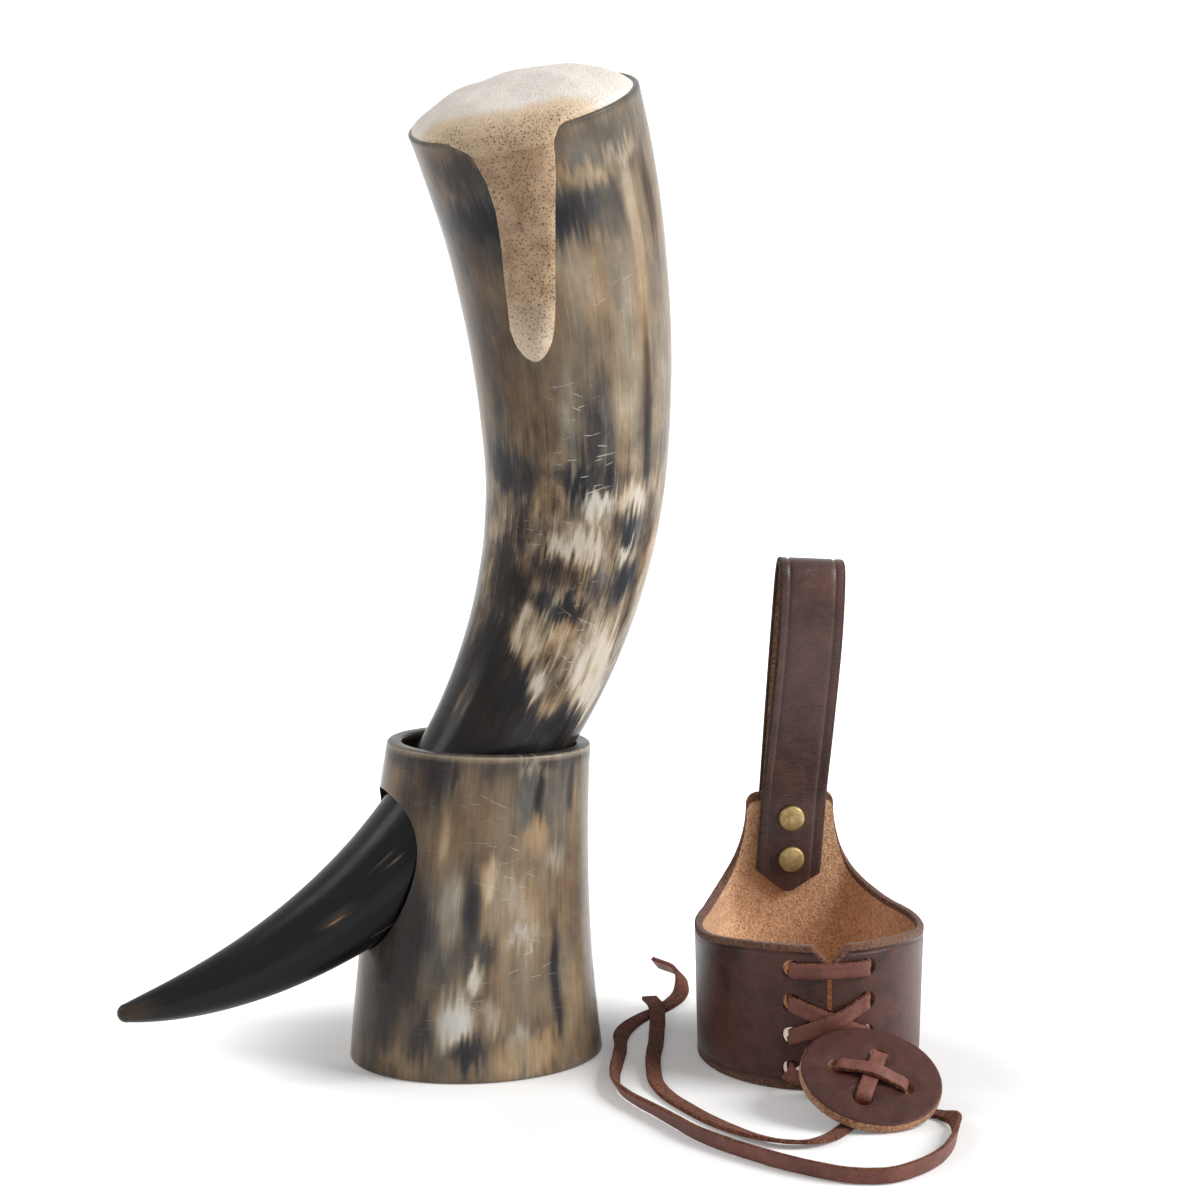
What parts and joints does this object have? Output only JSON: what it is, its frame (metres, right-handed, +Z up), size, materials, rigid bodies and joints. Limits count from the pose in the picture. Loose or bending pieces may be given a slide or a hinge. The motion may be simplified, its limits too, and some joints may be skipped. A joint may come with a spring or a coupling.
{
  "type": "drinking horn",
  "caption": "Polished curved horn cup standing in a hollow horn stand that its tip comes out of, with a laced leather belt holster and its lace button beside it.",
  "frame": {"origin": "on the table, under the middle of the set's box, with the loose thong tails left out", "axes": "+Z up; the horn bends in the XZ plane with its tip towards -X; -Y is the side that the holster's lacing faces"},
  "size_m": [0.2686, 0.2461, 0.3295],
  "materials": {
    "cup_horn": "polished natural horn, mottled charcoal, brown, tan and cream",
    "stand_horn": "polished natural horn, brown with pale streaks",
    "holster_leather": "smooth dark brown outside, tan suede inside",
    "strap_leather": "smooth dark brown outside, tan suede inside",
    "button_leather": "smooth dark brown face, tan cut edge",
    "thong_leather": "reddish brown, one face smooth and one rough",
    "rivet_brass": "antique brass"
  },
  "bodies": {
    "stand": {"horn_stand": "stand_horn"},
    "horn": {"horn_cup": "cup_horn"},
    "holster": {"holster_band": "holster_leather", "belt_loop": "strap_leather", "lacing_thong": "thong_leather", "lower_rivet": "rivet_brass", "lower_rivet_cap": "rivet_brass", "upper_rivet": "rivet_brass", "upper_rivet_cap": "rivet_brass", "long_thong_tail": "thong_leather", "short_thong_tail": "thong_leather"},
    "button": {"lace_button": "button_leather", "button_thong_over": "thong_leather", "button_thong_under": "thong_leather"}
  },
  "joints": [
    {"name": "horn_draw", "type": "hinge", "parent": "stand", "child": "horn", "pos_m": [-0.15264, 0.04686, 0.20537], "axis": [0, -1, 0], "range_deg": [0, 58]},
    {"name": "holster_move", "type": "slide", "parent": "stand", "child": "holster", "axis": [1, 0, 0], "range_m": [0, 0.12]},
    {"name": "button_swing", "type": "hinge", "parent": "holster", "child": "button", "pos_m": [0.08825, -0.04359, 0.02394], "axis": [-1, 0, 0], "range_deg": [0, 25]}
  ]
}
